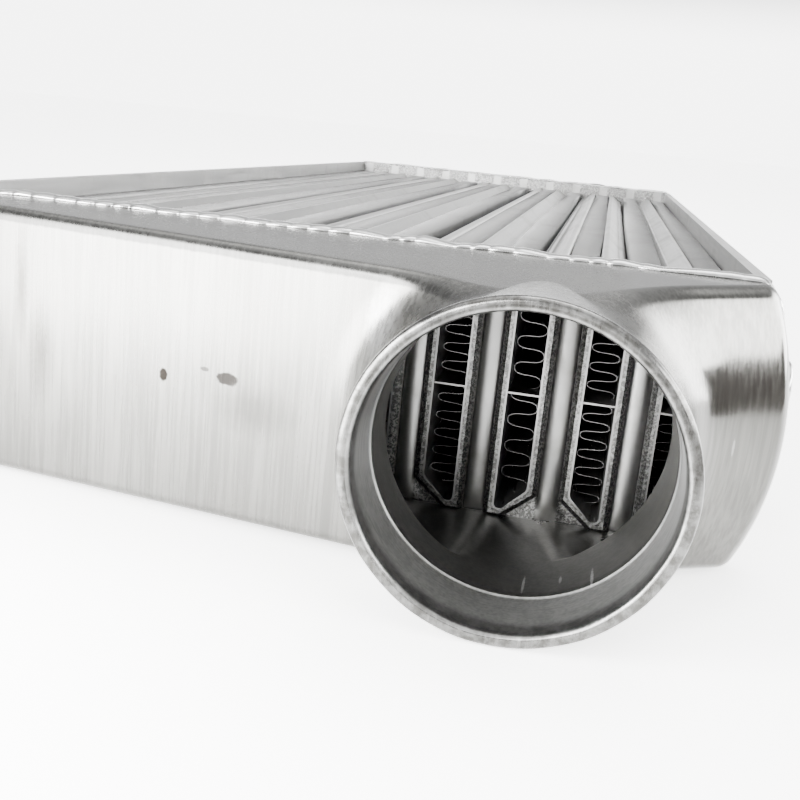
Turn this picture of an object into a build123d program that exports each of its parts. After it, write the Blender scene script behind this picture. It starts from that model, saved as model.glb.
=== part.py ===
"""Tube and fin charge air cooler (intercooler) with two cast end tanks.

The core lies flat: X runs along the tanks, Y along the tubes, Z through the core.
The origin is the middle of the underside of the core. Millimetres.
"""
from build123d import *
from math import atan2, cos, hypot, pi, sin
import os

# core
core_width = 240.0  # over the two side plates
core_length = 560.0  # between the outer faces of the header plates
core_height = 77.0  # depth of the side plates and headers
tube_count = 11
tube_pitch = 20.3
tube_width = 9.6
tube_wall = 0.5
tube_low = 5.8
tube_high = 71.2
tube_stand = 1.2  # how far a tube end stands out of its collar
side_plate_wall = 3.5
header_wall = 3.0
collar_wall = 2.4
collar_rise = 3.0
collar_chamfer = 1.4
mouth_bulge = 8.0  # how far header and tank ends bow out past the core
corner_radius = 4.0

# air fins and turbulators, folded sheet
air_folds = 18
air_sheet = 0.35
air_inset = 0.8  # fin edge below the tube nose
inner_folds = 4  # in each half of a tube
inner_sheet = 0.3

# end tanks, in the tank's own frame: x from the outlet side corner, y out of the core
tank_wall = 4.0
tank_draft = 0.07  # rise of the top over the depth of the tank
left_depth = 14.8  # depth of the shallow end
ridge_depth = 48.6
ridge_place = 50.0  # ridge to the outlet side corner
slant_end_depth = 11.0
slant_bow_radius = 95.0
neck_place = 55.2  # outlet axis to the outlet side corner
neck_height = 38.2
neck_length = 74.7  # rim to the header face
neck_outer = 36.4
lip_outer = 38.1
bore_radius = 34.8  # machined
bore_depth = 20.0
throat_radius = 34.2  # as cast
flare_radius = 14.0
lip_length = 5.0
lip_chamfer = 1.0
left_lean = 0.18
left_base = 48.1
slant_lean = 0.632
slant_base = 52.0

# fittings
boss_radius = 8.5
boss_length = 19.0
boss_inset = 61.0  # from the header face
boss_height = 38.5
thread_radius = 3.4  # tapping size of M8
thread_depth = 14.0
bead_rise = 1.4
bead_reach = 3.0

half_width = core_width / 2
half_length = core_length / 2
mid_height = core_height / 2
tube_places = [(i - (tube_count - 1) / 2) * tube_pitch for i in range(tube_count)]


def mouth_outline(inset=0.0):
    """Rectangle with bowed ends, the outline of the header and of the tank's mouth."""
    half = half_width - inset
    low = inset
    high = core_height - inset
    bow = mouth_bulge
    line = Polyline((-half, high), (half, high))
    line += ThreePointArc((half, high), (half + bow, mid_height), (half, low))
    line += Polyline((half, low), (-half, low))
    line += ThreePointArc((-half, low), (-half - bow, mid_height), (-half, high))
    outline = make_face(line)
    return fillet(outline.vertices(), max(corner_radius - inset, 0.8))


def tube_outline(inset, flip):
    """Flat tube with a nose slanted on one side below and on the other above."""
    half = tube_width / 2 - inset
    low = tube_low + inset
    high = tube_high - inset
    slant = tube_width * 0.66
    nose = 1.9
    points = [
        (-half, low),
        (-half + nose, low),
        (half, low + slant),
        (half, high),
        (half - nose, high),
        (-half, high - slant),
    ]
    if flip:
        points = [(-x, z) for x, z in points]
    return make_face(Polyline(*points, close=True))


def section_plane(y):
    """Plane across the tubes, its x along the tanks and its y up, its normal along -Y."""
    return Plane(origin=(0, y, 0), x_dir=(1, 0, 0), z_dir=(0, -1, 0))


def across(face, y, length):
    """Solid with this section, from y on towards +Y."""
    return extrude(section_plane(y) * face, amount=-length)


def tube(place, flip):
    """Extruded tube with two channels parted by a web."""
    half_run = half_length + collar_rise + tube_stand
    outer = across(tube_outline(0, flip), -half_run, 2 * half_run)
    inner = across(tube_outline(tube_wall, flip), -half_run, 2 * half_run)
    web = Pos(0, 0, mid_height) * Box(tube_width, 2 * half_run, tube_wall)
    return Pos(place, 0, 0) * (outer - (inner - web))


def folded(count, start, stop, low, high, sheet, first):
    """Zigzag band of count folds along the first axis, between low and high on the second."""
    step = (stop - start) / (2 * count)
    slope = hypot(step, high - low - sheet)
    drop = sheet * slope / step
    edge = []
    for i in range(2 * count + 1):
        top = (i % 2 == 0) == first
        edge.append((start + i * step, high if top else low + drop))
    under = [(u, v - drop) for u, v in reversed(edge)]
    return make_face(Polyline(*edge, *under, close=True))


def turbulator(place, low, high):
    """Folded sheet that fills one channel of a tube."""
    run = core_length - 12.0
    half = tube_width / 2 - tube_wall
    band = folded(inner_folds, low, high, -half, half, inner_sheet, True)
    turned = Rot(0, 0, 90) * mirror(band, Plane.XZ)
    return Pos(place, 0, 0) * across(turned, -run / 2, run)


def air_fin(left, right):
    """Folded sheet between two tubes, its folds following each other along Y."""
    run = half_length - header_wall
    band = folded(air_folds, -run, run, left, right, air_sheet, True)
    low = tube_low + air_inset
    high = tube_high - air_inset
    turned = Rot(0, 0, 90) * mirror(band, Plane.XZ)
    return extrude(Pos(0, 0, low) * turned, amount=high - low)


def header_plate():
    """Pressed end plate with a raised collar round every tube. Outer face at -half_length."""
    plate = across(mouth_outline(), -half_length, header_wall)
    room = core_height - 2 * tank_wall - 0.4
    clear_of_tank = Pos(0, -half_length, mid_height) * Box(tube_pitch, 10, room)
    for i, place in enumerate(tube_places):
        flip = i % 2 == 1
        ring_outline = offset(tube_outline(0, flip), amount=collar_wall, kind=Kind.INTERSECTION)
        ring = across(ring_outline, -half_length - collar_rise, collar_rise)
        rim = ring.faces().sort_by(Axis.Y)[0].edges()
        collar = chamfer(rim, collar_chamfer) & clear_of_tank
        plate += Pos(place, 0, 0) * collar
    for i, place in enumerate(tube_places):
        hole = across(tube_outline(0, i % 2 == 1), -half_length - 10, 20)
        plate -= Pos(place, 0, 0) * hole
    return plate


def slab(inset):
    """Space between the drafted top and underside of the tank."""
    reach = 100.0
    drop = tank_draft * reach
    side = Polyline(
        (0, inset), (0, core_height - inset), (reach, core_height - inset - drop), (reach, inset + drop), close=True
    )
    plane = Plane(origin=(200, -half_length, 0), x_dir=(0, -1, 0), z_dir=(-1, 0, 0))
    return extrude(plane * make_face(side), amount=400)


def tank_form(inset):
    """Outer form of the tank, or with an inset the form of its hollow."""
    left = -half_width - mouth_bulge + inset
    right = half_width + mouth_bulge - inset
    mouth = -half_length
    shallow = (left, mouth - left_depth + inset)
    ridge = (half_width - ridge_place, mouth - ridge_depth + inset)
    slant_end = (right, mouth - slant_end_depth + inset)
    plan = make_face(Polyline((left, mouth), shallow, ridge, slant_end, (right, mouth), close=True))
    body = extrude(plan, amount=core_height)

    body &= slab(inset)
    body &= across(mouth_outline(inset), mouth - 100, 100)

    # the slanted end is bowed, so its outer skin is cut to an arc
    run = (slant_end[0] - ridge[0], slant_end[1] - ridge[1])
    length = hypot(*run)
    outward = (run[1] / length, -run[0] / length)
    bow_plane = Plane(
        origin=(ridge[0] - run[0], ridge[1] - run[1], mid_height),
        x_dir=(outward[0], outward[1], 0),
        z_dir=(outward[1], -outward[0], 0),
    )
    radius = slant_bow_radius - inset
    trim = Pos(4, 0) * Rectangle(24, core_height + 10) - Pos(-radius, 0) * Circle(radius)
    return body - extrude(bow_plane * trim, amount=-4 * length, both=True)


def round_front(body):
    """Round the long edges where the front face meets the top and the underside."""
    for low in (True, False):
        edges = [e for e in body.edges() if e.length > 100 and e.center().Y < -half_length - 20]
        edges = [e for e in edges if (e.center().Z < mid_height) == low]
        body = fillet(edges[:1], corner_radius)
    return body


def flare(lean, base, side):
    """Half of the neck's root: a hollow curve from the neck out to a leaning face.

    The face lies at base - lean * r from the header, r being the distance to the outlet axis.
    """
    spread = hypot(1, lean)
    middle_r = neck_outer + flare_radius
    middle_d = base - lean * middle_r + flare_radius * spread
    foot = (middle_r - flare_radius * lean / spread, middle_d - flare_radius / spread)
    turn = atan2(foot[1] - middle_d, foot[0] - middle_r)
    half_turn = (turn - pi) / 2 + pi if turn > 0 else (turn + 2 * pi + pi) / 2
    between = (middle_r + flare_radius * cos(half_turn), middle_d + flare_radius * sin(half_turn))
    reach = 62.0
    outline = Polyline(foot, (reach, base - lean * reach), (reach, 0), (0, 0), (0, middle_d), (neck_outer, middle_d))
    outline += ThreePointArc((neck_outer, middle_d), between, foot)
    face = Plane(origin=(0, 0, 0), x_dir=(1, 0, 0), z_dir=(0, 0, 1)) * mirror(make_face(outline), Plane.XZ)
    solid = revolve(face, Axis.Y)
    half_box = Pos(side * 100, -50, 0) * Box(200, 100, 200)
    return Pos(half_width - neck_place, -half_length, neck_height) * (solid & half_box)


def neck(radius, start, stop):
    """Cylinder on the outlet axis between two distances from the header."""
    plane = Plane(
        origin=(half_width - neck_place, -half_length - start, neck_height), x_dir=(1, 0, 0), z_dir=(0, -1, 0)
    )
    return plane * extrude(Circle(radius), amount=stop - start)


def tank():
    """Cast end tank with its hose neck, mouth towards +Y at -half_length."""
    body = round_front(tank_form(0))
    body += flare(left_lean, left_base, -1) & slab(0)
    body += flare(slant_lean, slant_base, 1) & slab(0)
    body += neck(neck_outer, 30, neck_length)
    lip = neck(lip_outer, neck_length - lip_length, neck_length)
    rim = lip.edges().filter_by(GeomType.CIRCLE).sort_by(Axis.Y)[0]
    body += chamfer(rim, lip_chamfer)
    body -= tank_form(tank_wall)
    body -= neck(throat_radius, ridge_depth / 2, neck_length)
    return body - neck(bore_radius, neck_length - bore_depth, neck_length + 1)


def side_plate():
    """Flat plate that closes the core on the +X side, between the headers."""
    run = core_length - 2 * header_wall
    return Pos(half_width - side_plate_wall / 2, 0, mid_height) * Box(side_plate_wall, run, core_height)


def boss():
    """Threaded mounting boss, standing on the +X side plate."""
    plane = Plane(origin=(half_width, boss_inset - half_length, boss_height), x_dir=(0, 1, 0), z_dir=(1, 0, 0))
    solid = extrude(Circle(boss_radius), amount=boss_length)
    hole = Pos(0, 0, boss_length - thread_depth) * extrude(Circle(thread_radius), amount=thread_depth)
    return plane * (solid - hole)


def weld():
    """Bead round the joint of tank and header, dressed flush underneath."""
    start = -half_length - bead_reach
    bead = across(offset(mouth_outline(), amount=bead_rise), start, 2 * bead_reach)
    ends = bead.faces().filter_by(Axis.Y).edges()
    bead = chamfer(ends, bead_rise * 0.7)
    bead -= across(mouth_outline(), start - 1, 2 * bead_reach + 2)
    above = Pos(0, -half_length, core_height) * Box(400, 20, 2 * core_height)
    return bead & above


def core_nodes():
    """Tubes with their turbulators, and the rows of air fins between them."""
    nodes = {}
    half = tube_width / 2
    clear = tube_low + 7.0
    for i, place in enumerate(tube_places):
        number = f"{i + 1:02d}"
        nodes[f"tube_{number}"] = tube(place, i % 2 == 1)
        nodes[f"lower_turbulator_{number}"] = turbulator(place, clear, mid_height - tube_wall)
        nodes[f"upper_turbulator_{number}"] = turbulator(place, mid_height + tube_wall, core_height - clear)
    inner_side = half_width - side_plate_wall
    lefts = [-inner_side] + [place + half for place in tube_places]
    rights = [place - half for place in tube_places] + [inner_side]
    for i, (left, right) in enumerate(zip(lefts, rights)):
        nodes[f"air_fin_{i + 1:02d}"] = air_fin(left, right)
    return nodes


def end_nodes():
    """Tanks, headers, welds, side plates and bosses, each with its mirror image."""
    outlet = {"tank": tank(), "header": header_plate(), "weld": weld()}
    nodes = {}
    for name, solid in outlet.items():
        nodes[f"outlet_{name}"] = solid
        nodes[f"inlet_{name}"] = mirror(solid, Plane.XZ)
    nodes["right_side_plate"] = side_plate()
    nodes["left_side_plate"] = mirror(side_plate(), Plane.YZ)
    near = boss()
    far = mirror(near, Plane.XZ)
    nodes["right_outlet_boss"] = near
    nodes["right_inlet_boss"] = far
    nodes["left_outlet_boss"] = mirror(near, Plane.YZ)
    nodes["left_inlet_boss"] = mirror(far, Plane.YZ)
    return nodes


os.makedirs("parts", exist_ok=True)
for node, solid in {**core_nodes(), **end_nodes()}.items():
    export_step(solid, f"parts/{node}.step")
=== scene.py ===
import bmesh
import bpy
import numpy as np
from mathutils import Matrix


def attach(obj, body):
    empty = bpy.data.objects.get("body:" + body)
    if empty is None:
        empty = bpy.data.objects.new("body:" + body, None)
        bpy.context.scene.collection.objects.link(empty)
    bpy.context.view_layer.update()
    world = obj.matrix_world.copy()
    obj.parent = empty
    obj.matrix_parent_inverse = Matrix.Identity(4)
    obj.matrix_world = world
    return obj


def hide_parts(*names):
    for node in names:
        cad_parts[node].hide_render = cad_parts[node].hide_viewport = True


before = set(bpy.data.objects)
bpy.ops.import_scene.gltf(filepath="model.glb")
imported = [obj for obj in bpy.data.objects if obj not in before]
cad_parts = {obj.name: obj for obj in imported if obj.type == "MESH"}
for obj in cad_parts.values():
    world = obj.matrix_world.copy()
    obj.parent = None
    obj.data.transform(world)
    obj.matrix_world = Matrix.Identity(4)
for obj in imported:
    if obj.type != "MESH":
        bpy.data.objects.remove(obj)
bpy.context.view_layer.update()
rng = np.random.default_rng(7)
mm = 0.001


def gridQuads(rows, cols, wrapRows=False, wrapCols=False):
    # four corners of every cell of a rows by cols grid, numbered row by row
    i = np.arange(rows if wrapRows else rows - 1)[:, None]
    j = np.arange(cols if wrapCols else cols - 1)[None, :]
    nextRow = (i + 1) % rows
    nextCol = (j + 1) % cols
    corners = [i * cols + j, i * cols + nextCol, nextRow * cols + nextCol, nextRow * cols + j]
    return np.stack(corners, axis=-1).reshape(-1, 4)


def closeSeams(mesh, solid):
    # points that lie on each other become one; on a closed piece every face is turned outwards
    work = bmesh.new()
    work.from_mesh(mesh)
    bmesh.ops.remove_doubles(work, verts=work.verts, dist=1e-7)
    if solid:
        bmesh.ops.recalc_face_normals(work, faces=work.faces)
    work.to_mesh(mesh)
    work.free()


def addPiece(name, grids, material, stands=(), sharpAngle=None, solid=True):
    # grids: list of (points of shape rows x cols x 3 in mm, wrapRows, wrapCols, flip)
    verts = []
    quads = []
    start = 0
    for points, wrapRows, wrapCols, flip in grids:
        rows, cols = points.shape[:2]
        cells = gridQuads(rows, cols, wrapRows, wrapCols)
        quads.append((cells[:, ::-1] if flip else cells) + start)
        verts.append(points.reshape(-1, 3) * mm)
        start += rows * cols
    verts = np.concatenate(verts)
    quads = np.concatenate(quads)
    mesh = bpy.data.meshes.new(name)
    mesh.vertices.add(len(verts))
    mesh.vertices.foreach_set("co", verts.ravel())
    mesh.loops.add(quads.size)
    mesh.loops.foreach_set("vertex_index", quads.ravel())
    mesh.polygons.add(len(quads))
    mesh.polygons.foreach_set("loop_start", np.arange(0, quads.size, 4))
    mesh.update(calc_edges=True)
    closeSeams(mesh, solid)
    mesh.polygons.foreach_set("use_smooth", np.ones(len(mesh.polygons), bool))
    mesh.validate()
    mesh.materials.append(material)
    piece = bpy.data.objects.new(name, mesh)
    bpy.context.scene.collection.objects.link(piece)
    if sharpAngle:
        mesh.set_sharp_from_angle(angle=np.radians(sharpAngle))
    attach(piece, "root")
    if stands:
        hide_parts(*stands)
    return piece


def mirrored(grids):
    # the same surfaces beyond the plane y = 0, with their faces turned back out
    return [(g[0] * (1, -1, 1), g[1], g[2], not g[3]) for g in grids]


def newGroup(name, inputs, outputs):
    group = bpy.data.node_groups.new(name, "ShaderNodeTree")
    for label, kind, value in inputs:
        socket = group.interface.new_socket(label, in_out="INPUT", socket_type=kind)
        socket.default_value = value
    for label, kind in outputs:
        group.interface.new_socket(label, in_out="OUTPUT", socket_type=kind)
    return group, group.nodes.new("NodeGroupInput"), group.nodes.new("NodeGroupOutput")


def node(tree, kind, **values):
    made = tree.nodes.new(kind)
    for key, value in values.items():
        setattr(made, key, value)
    return made


def mathNode(tree, operation, a, b=0.0, c=0.0, clamp=False):
    made = node(tree, "ShaderNodeMath", operation=operation, use_clamp=clamp)
    for socket, value in zip(made.inputs, (a, b, c)):
        if isinstance(value, bpy.types.NodeSocket):
            tree.links.new(value, socket)
        else:
            socket.default_value = value
    return made.outputs[0]


def vectorNode(tree, operation, first, second=None):
    made = node(tree, "ShaderNodeVectorMath", operation=operation)
    tree.links.new(first, made.inputs[0])
    if second is not None:
        tree.links.new(second, made.inputs[1])
    return made


def smoothMask(tree, value, low, high):
    # 0 below low, 1 above high
    made = node(tree, "ShaderNodeMapRange", interpolation_type="SMOOTHSTEP")
    tree.links.new(value, made.inputs["Value"])
    made.inputs["From Min"].default_value = low
    made.inputs["From Max"].default_value = high
    return made.outputs["Result"]


def splitAxes(tree, where):
    split = node(tree, "ShaderNodeSeparateXYZ")
    tree.links.new(where, split.inputs[0])
    return split.outputs


def product(tree, first, *others):
    for other in others:
        first = mathNode(tree, "MULTIPLY", first, other)
    return first


def opposite(tree, value):
    return mathNode(tree, "SUBTRACT", 1.0, value)


def between(tree, value, span):
    # 0 below the span's first length and 1 above its second, both in mm
    return smoothMask(tree, value, span[0] * mm, span[1] * mm)


def noiseOn(tree, vector, scale, detail=3.0, stretch=(1, 1, 1), rough=0.5):
    place = node(tree, "ShaderNodeMapping")
    place.inputs["Scale"].default_value = stretch
    tree.links.new(vector, place.inputs["Vector"])
    made = node(tree, "ShaderNodeTexNoise")
    made.inputs["Scale"].default_value = scale
    made.inputs["Detail"].default_value = detail
    made.inputs["Roughness"].default_value = rough
    tree.links.new(place.outputs[0], made.inputs["Vector"])
    return made.outputs["Fac"]


def makeBrushed():
    # fine lines along one direction: noise squeezed across the strokes
    inputs = [("Vector", "NodeSocketVector", (0, 0, 0)), ("Across", "NodeSocketVector", (1, 1, 0.03))]
    inputs += [("Fine", "NodeSocketFloat", 900.0), ("Coarse", "NodeSocketFloat", 160.0)]
    outputs = [("Lines", "NodeSocketFloat"), ("Patches", "NodeSocketFloat")]
    group, ins, outs = newGroup("brushed", inputs, outputs)
    squeezed = vectorNode(group, "MULTIPLY", ins.outputs["Vector"], ins.outputs["Across"])
    made = []
    for label in ("Fine", "Coarse"):
        noise = node(group, "ShaderNodeTexNoise")
        noise.inputs["Detail"].default_value = 3
        group.links.new(squeezed.outputs[0], noise.inputs["Vector"])
        group.links.new(ins.outputs[label], noise.inputs["Scale"])
        made.append(noise.outputs["Fac"])
    lines = mathNode(group, "MULTIPLY_ADD", made[1], 0.4, product(group, made[0], 0.6))
    patches = noiseOn(group, ins.outputs["Vector"], 28, 4)
    group.links.new(lines, outs.inputs["Lines"])
    group.links.new(patches, outs.inputs["Patches"])
    return group


def makeGrime():
    # dull stains in soft patches, with small dark specks
    inputs = [("Vector", "NodeSocketVector", (0, 0, 0)), ("Amount", "NodeSocketFloat", 0.5)]
    outputs = [("Mask", "NodeSocketFloat"), ("Specks", "NodeSocketFloat")]
    group, ins, outs = newGroup("grime", inputs, outputs)
    broad = noiseOn(group, ins.outputs["Vector"], 35, 6, rough=0.65)
    stain = smoothMask(group, broad, 0.48, 0.72)
    group.links.new(product(group, stain, ins.outputs["Amount"]), outs.inputs["Mask"])
    fine = noiseOn(group, ins.outputs["Vector"], 420, 2)
    group.links.new(smoothMask(group, fine, 0.70, 0.78), outs.inputs["Specks"])
    return group


def makeSpot():
    # one mark with a ragged rim: distance from its centre, measured in its own sizes
    inputs = [("Vector", "NodeSocketVector", (0, 0, 0)), ("Centre", "NodeSocketVector", (0, 0, 0))]
    inputs += [("Size", "NodeSocketVector", (1, 1, 1)), ("Soft", "NodeSocketFloat", 0.3)]
    group, ins, outs = newGroup("spot", inputs, [("Mask", "NodeSocketFloat")])
    gap = vectorNode(group, "SUBTRACT", ins.outputs["Vector"], ins.outputs["Centre"])
    sized = vectorNode(group, "DIVIDE", gap.outputs[0], ins.outputs["Size"])
    length = vectorNode(group, "LENGTH", sized.outputs[0])
    ragged = noiseOn(group, ins.outputs["Vector"], 700, 3, rough=0.65)
    away = mathNode(group, "SUBTRACT", length.outputs["Value"], 1.45)
    away = mathNode(group, "MULTIPLY_ADD", ragged, 0.9, away)
    fall = mathNode(group, "DIVIDE", away, ins.outputs["Soft"])
    group.links.new(mathNode(group, "SUBTRACT", 0.5, fall, clamp=True), outs.inputs["Mask"])
    return group


brushed = makeBrushed()
grime = makeGrime()
spot = makeSpot()


def startMaterial(name, colour, roughness, metallic=1.0):
    made = bpy.data.materials.new(name)
    made.use_nodes = True
    tree = made.node_tree
    shader = tree.nodes["Principled BSDF"]
    shader.inputs["Base Color"].default_value = (*colour, 1)
    shader.inputs["Roughness"].default_value = roughness
    shader.inputs["Metallic"].default_value = metallic
    where = node(tree, "ShaderNodeTexCoord").outputs["Object"]
    return made, tree, shader, where


def useGroup(tree, group, where, **values):
    made = node(tree, "ShaderNodeGroup", node_tree=group)
    tree.links.new(where, made.inputs["Vector"])
    for label, value in values.items():
        made.inputs[label].default_value = value
    return made.outputs


def markOn(tree, where, base, centre, size, soft, tone, amount):
    mask = useGroup(tree, spot, where, Centre=centre, Size=size, Soft=soft)["Mask"]
    return mixColour(tree, product(tree, mask, amount), base, tone)


def mixColour(tree, mask, first, second):
    made = node(tree, "ShaderNodeMix", data_type="RGBA")
    for socket, value in ((made.inputs[0], mask), (made.inputs[6], first), (made.inputs[7], second)):
        if isinstance(value, bpy.types.NodeSocket):
            tree.links.new(value, socket)
        elif isinstance(value, tuple):
            socket.default_value = (*value, 1)
        else:
            socket.default_value = value
    return made.outputs[2]


def addBump(tree, shader, height, strength, distance):
    made = node(tree, "ShaderNodeBump")
    made.inputs["Strength"].default_value = strength
    made.inputs["Distance"].default_value = distance
    tree.links.new(height, made.inputs["Height"])
    before = shader.inputs["Normal"].links
    if before:
        tree.links.new(before[0].from_socket, made.inputs["Normal"])
    tree.links.new(made.outputs[0], shader.inputs["Normal"])


print("shader groups ready")


tankShape = {
    "halfWidth": 120.0, "height": 77.0, "bow": 8.0, "headerFace": 280.0, "draft": 0.07,
    "shallow": 14.8, "ridgeX": 70.0, "ridgeDepth": 48.6, "endDepth": 11.0, "slantRadius": 95.0,
    "neckX": 64.8, "neckZ": 38.2, "neckRadius": 36.4, "throatRadius": 34.2, "wall": 4.0,
    "flareRadius": 14.0, "edgeRadius": 2.8, "ridgeRadius": 9.0, "throatEdge": 1.2,
    "neckStop": 62.0, "throatStop": 49.0, "columns": 340, "outerRows": 84, "innerRows": 56,
    "longShare": 0.36, "cornerShare": 0.45,
}

# the rays that find the form's surface: their number, how they crowd near the mouth, their
# length in mm, how often they are halved, and what a turn counts for when points are spread
rays = {"count": 420, "crowding": 1.35, "length": 260.0, "halvings": 34, "turns": 0.9}

# the end of the neck, up its outside, over the beaded lip and down to the throat: radius and depth
lipProfile = [
    (36.4, 64), (36.4, 66), (36.4, 67.4), (36.5, 68.6), (36.9, 69.6), (37.5, 70.5), (37.95, 71.5),
    (38.1, 72.5), (38.1, 73.3), (37.95, 73.95), (37.6, 74.4), (37.1, 74.62), (36.5, 74.7),
    (35.9, 74.66), (35.4, 74.45), (35.05, 74.0), (34.86, 73.3), (34.8, 72.4), (34.8, 70),
    (34.8, 66), (34.8, 62), (34.8, 58), (34.8, 55.4), (34.75, 54.9), (34.35, 54.6), (34.2, 54.1),
    (34.2, 52),
]


def frontSlopes():
    # where the bowed ends stand at their middle, and how the depth grows along the long front
    # and falls along the slanted one
    t = tankShape
    reach = t["halfWidth"] + t["bow"]
    lean = (t["ridgeDepth"] - t["shallow"]) / (t["ridgeX"] + reach)
    fall = (t["ridgeDepth"] - t["endDepth"]) / (reach - t["ridgeX"])
    return reach, lean, fall


def bowRadius():
    # radius of the ends, which bow outwards from top and underside to their middle
    mid = tankShape["height"] / 2
    return (mid ** 2 + tankShape["bow"] ** 2) / (2 * tankShape["bow"])


def roundCorner(distances, radius):
    # where several solids meet, the outside corner is an arc of this radius
    reach = np.sqrt(sum(np.maximum(d + radius, 0) ** 2 for d in distances))
    return np.minimum(np.maximum.reduce(distances), -radius) + reach


def hollowCorner(first, second, radius):
    # two solids joined with a hollow fillet of this radius
    reach = np.hypot(np.maximum(radius - first, 0), np.maximum(radius - second, 0))
    return np.maximum(np.minimum(first, second), radius) - reach


def tankField(x, depth, z, inset, withNeck):
    # signed distance in mm to the form: two leaning fronts, bowed ends, drafted top and underside
    t = tankShape
    mid = t["height"] / 2
    reach, lean, fall = frontSlopes()
    long = (depth - t["shallow"] - lean * (x + reach)) / np.hypot(1, lean) + inset
    slant = (depth - t["ridgeDepth"] + fall * (x - t["ridgeX"])) / np.hypot(1, fall)
    slant = np.hypot(slant + t["slantRadius"], z - mid) - t["slantRadius"] + inset
    ends = np.hypot(np.abs(x) + bowRadius() - reach, z - mid) - bowRadius() + inset
    edge = max(t["edgeRadius"] - inset / 2, 1.0)
    faces = roundCorner([roundCorner([long, slant], t["ridgeRadius"]), ends], edge)
    radial = np.hypot(x - t["neckX"], z - t["neckZ"])
    if withNeck:
        faces = hollowCorner(faces, radial - t["neckRadius"], t["flareRadius"])
    top = np.abs(z - mid) - mid + t["draft"] * depth + inset
    body = roundCorner([faces, top], edge)
    if withNeck:
        return np.minimum(body, radial - t["neckRadius"])
    return hollowCorner(body, radial - t["throatRadius"], t["throatEdge"])


def castCurves(angles, inset, withNeck, radius, stop, rows):
    # in each half plane through the outlet axis, rays from the mouth's plane find the form's
    # surface by halving, from the mouth to the neck; then points are spread by length and turn
    t = tankShape
    count = rays["count"]
    fan = np.arctan2(stop, radius) * np.linspace(0, 1, count)[:, None] ** rays["crowding"]
    near = np.zeros((count, len(angles)))
    far = near + rays["length"]
    for _ in range(rays["halvings"]):
        middle = (near + far) / 2
        out = middle * np.cos(fan)
        depth = middle * np.sin(fan)
        x = t["neckX"] + out * np.cos(angles)
        z = t["neckZ"] + out * np.sin(angles)
        outside = tankField(x, depth, z, inset, withNeck) > 0
        far = np.where(outside, middle, far)
        near = np.where(outside, near, middle)
    out = near * np.cos(fan)
    depth = near * np.sin(fan)
    step = np.hypot(np.diff(out, axis=0), np.diff(depth, axis=0)) + 1e-6
    heading = np.unwrap(np.arctan2(np.diff(depth, axis=0), np.diff(out, axis=0)), axis=0)
    turn = np.zeros_like(step)
    turn[1:] = np.abs(np.diff(heading, axis=0))
    share = step / step.sum(0) + rays["turns"] * turn / (turn.sum(0) + 1e-6)
    run = np.vstack([np.zeros(len(angles)), np.cumsum(share, axis=0)])
    run /= run[-1]
    even = np.linspace(0, 1, rows)
    spread = [np.interp(even, run[:, k], np.arange(float(count))) for k in range(len(angles))]
    place = np.array(spread).T
    low = np.minimum(place.astype(int), count - 2)
    part = place - low
    column = np.arange(len(angles))
    out = out[low, column] * (1 - part) + out[low + 1, column] * part
    depth = depth[low, column] * (1 - part) + depth[low + 1, column] * part
    return out, depth


def rimAngles():
    # directions from the outlet axis to points round the mouth, closer together near its corners
    t = tankShape
    side = t["halfWidth"] + t["bow"] * 0.45
    crowd = t["cornerShare"]

    def spaced(count):
        u = np.arange(count) / count
        return (1 - crowd) * u + crowd * (0.5 - 0.5 * np.cos(np.pi * u))

    long = int(t["columns"] * t["longShare"])
    short = t["columns"] // 2 - long
    x = np.concatenate([side - 2 * side * spaced(long), np.full(short, -side)])
    z = np.concatenate([np.full(long, t["height"]), t["height"] * (1 - spaced(short))])
    x = np.concatenate([x, -x])
    z = np.concatenate([z, t["height"] - z])
    return np.arctan2(z - t["neckZ"], x - t["neckX"])


def makeTank():
    # one closed sheet: out along the mouth, over the fronts and the flare, up the neck,
    # round the lip, down the bore and back over the walls of the hollow
    t = tankShape
    angles = rimAngles()
    outerOut, outerDepth = castCurves(
        angles, 0.0, True, t["neckRadius"], t["neckStop"], t["outerRows"])
    innerOut, innerDepth = castCurves(
        angles, t["wall"], False, t["throatRadius"], t["throatStop"], t["innerRows"])
    lip = np.array(lipProfile)
    # the lip's face isn't quite flat; the neck below it and the bore stay true
    wobble = 0.16 * np.sin(3 * angles + 0.6) + 0.11 * np.sin(7 * angles + 2.0)
    wobble = wobble + 0.07 * np.sin(17 * angles) - 0.16
    beaded = np.clip((lip[:, 1:] - 68) / 4, 0, 1) * np.clip((lip[:, :1] - 34.7) * 1.2, 0, 1)
    lipOut = lip[:, :1] + 0 * angles
    lipDepth = lip[:, 1:] + beaded * wobble
    out = np.vstack([outerOut, lipOut, innerOut[::-1]])
    depth = np.vstack([outerDepth, lipDepth, innerDepth[::-1]])
    x = t["neckX"] + out * np.cos(angles)
    z = t["neckZ"] + out * np.sin(angles)
    points = np.stack([x, -t["headerFace"] - depth, z], axis=-1)
    return [(points, True, True, False)]


def neckCoordinates(tree, axes):
    # distance from the outlet axis and distance from the middle of the core, in metres
    dx = mathNode(tree, "SUBTRACT", axes["X"], tankShape["neckX"] * mm)
    dz = mathNode(tree, "SUBTRACT", axes["Z"], tankShape["neckZ"] * mm)
    square = mathNode(tree, "MULTIPLY_ADD", dx, dx, product(tree, dz, dz))
    return mathNode(tree, "SQRT", square), mathNode(tree, "ABSOLUTE", axes["Y"])


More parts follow.
